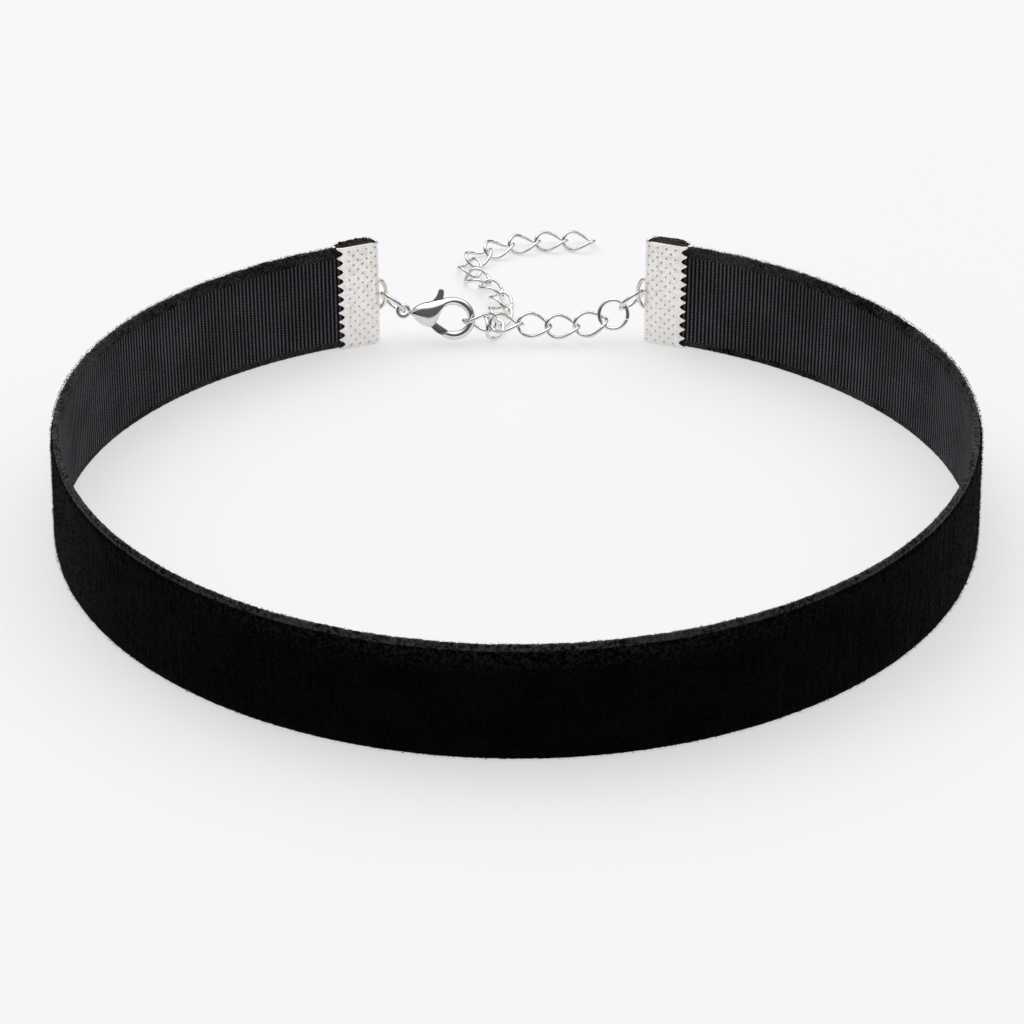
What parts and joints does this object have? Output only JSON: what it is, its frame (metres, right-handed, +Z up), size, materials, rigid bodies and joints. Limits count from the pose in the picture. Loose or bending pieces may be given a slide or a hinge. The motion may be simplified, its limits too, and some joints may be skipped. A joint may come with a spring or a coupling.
{
  "type": "ribbon choker necklace",
  "caption": "Velvet ribbon choker whose toothed crimp ends are closed at the nape by a lobster clasp hooked into an extender chain with a loose tail.",
  "frame": {"origin": "on the surface it stands on, under the middle of the bounding box", "axes": "+Z up, throat side towards -Y, closure and loose tail towards +Y, clasp on the -X side"},
  "size_m": [0.1204, 0.133, 0.0162],
  "materials": {
    "velvet": "black velvet pile outside, ribbed black grosgrain inside",
    "crimp_steel": "pressed plate with small dimples, satin",
    "bright_steel": "polished wire and castings"
  },
  "bodies": {
    "choker": {"velvet_ribbon": "velvet", "left_crimp_end": "crimp_steel", "right_crimp_end": "crimp_steel", "clasp_body": "bright_steel", "clasp_jump_ring": "bright_steel", "chain_round_ring": "bright_steel", "chain_jump_ring": "bright_steel", "link_01": "bright_steel", "link_02": "bright_steel", "link_03": "bright_steel", "link_04": "bright_steel", "link_05": "bright_steel", "link_06": "bright_steel", "link_07": "bright_steel", "link_08": "bright_steel", "link_09": "bright_steel", "link_10": "bright_steel", "link_11": "bright_steel", "link_12": "bright_steel", "link_13": "bright_steel", "link_14": "bright_steel", "link_15": "bright_steel", "link_16": "bright_steel"},
    "lever": {"clasp_lever": "bright_steel"}
  },
  "joints": [
    {"name": "lever_hinge", "type": "hinge", "parent": "choker", "child": "lever", "pos_m": [-0.01209, 0.03511, 0.00432], "axis": [0, -0.9397, 0.342], "range_deg": [0, 25], "stiffness_Nm_per_rad": 0.002, "springref_deg": -11.46}
  ]
}
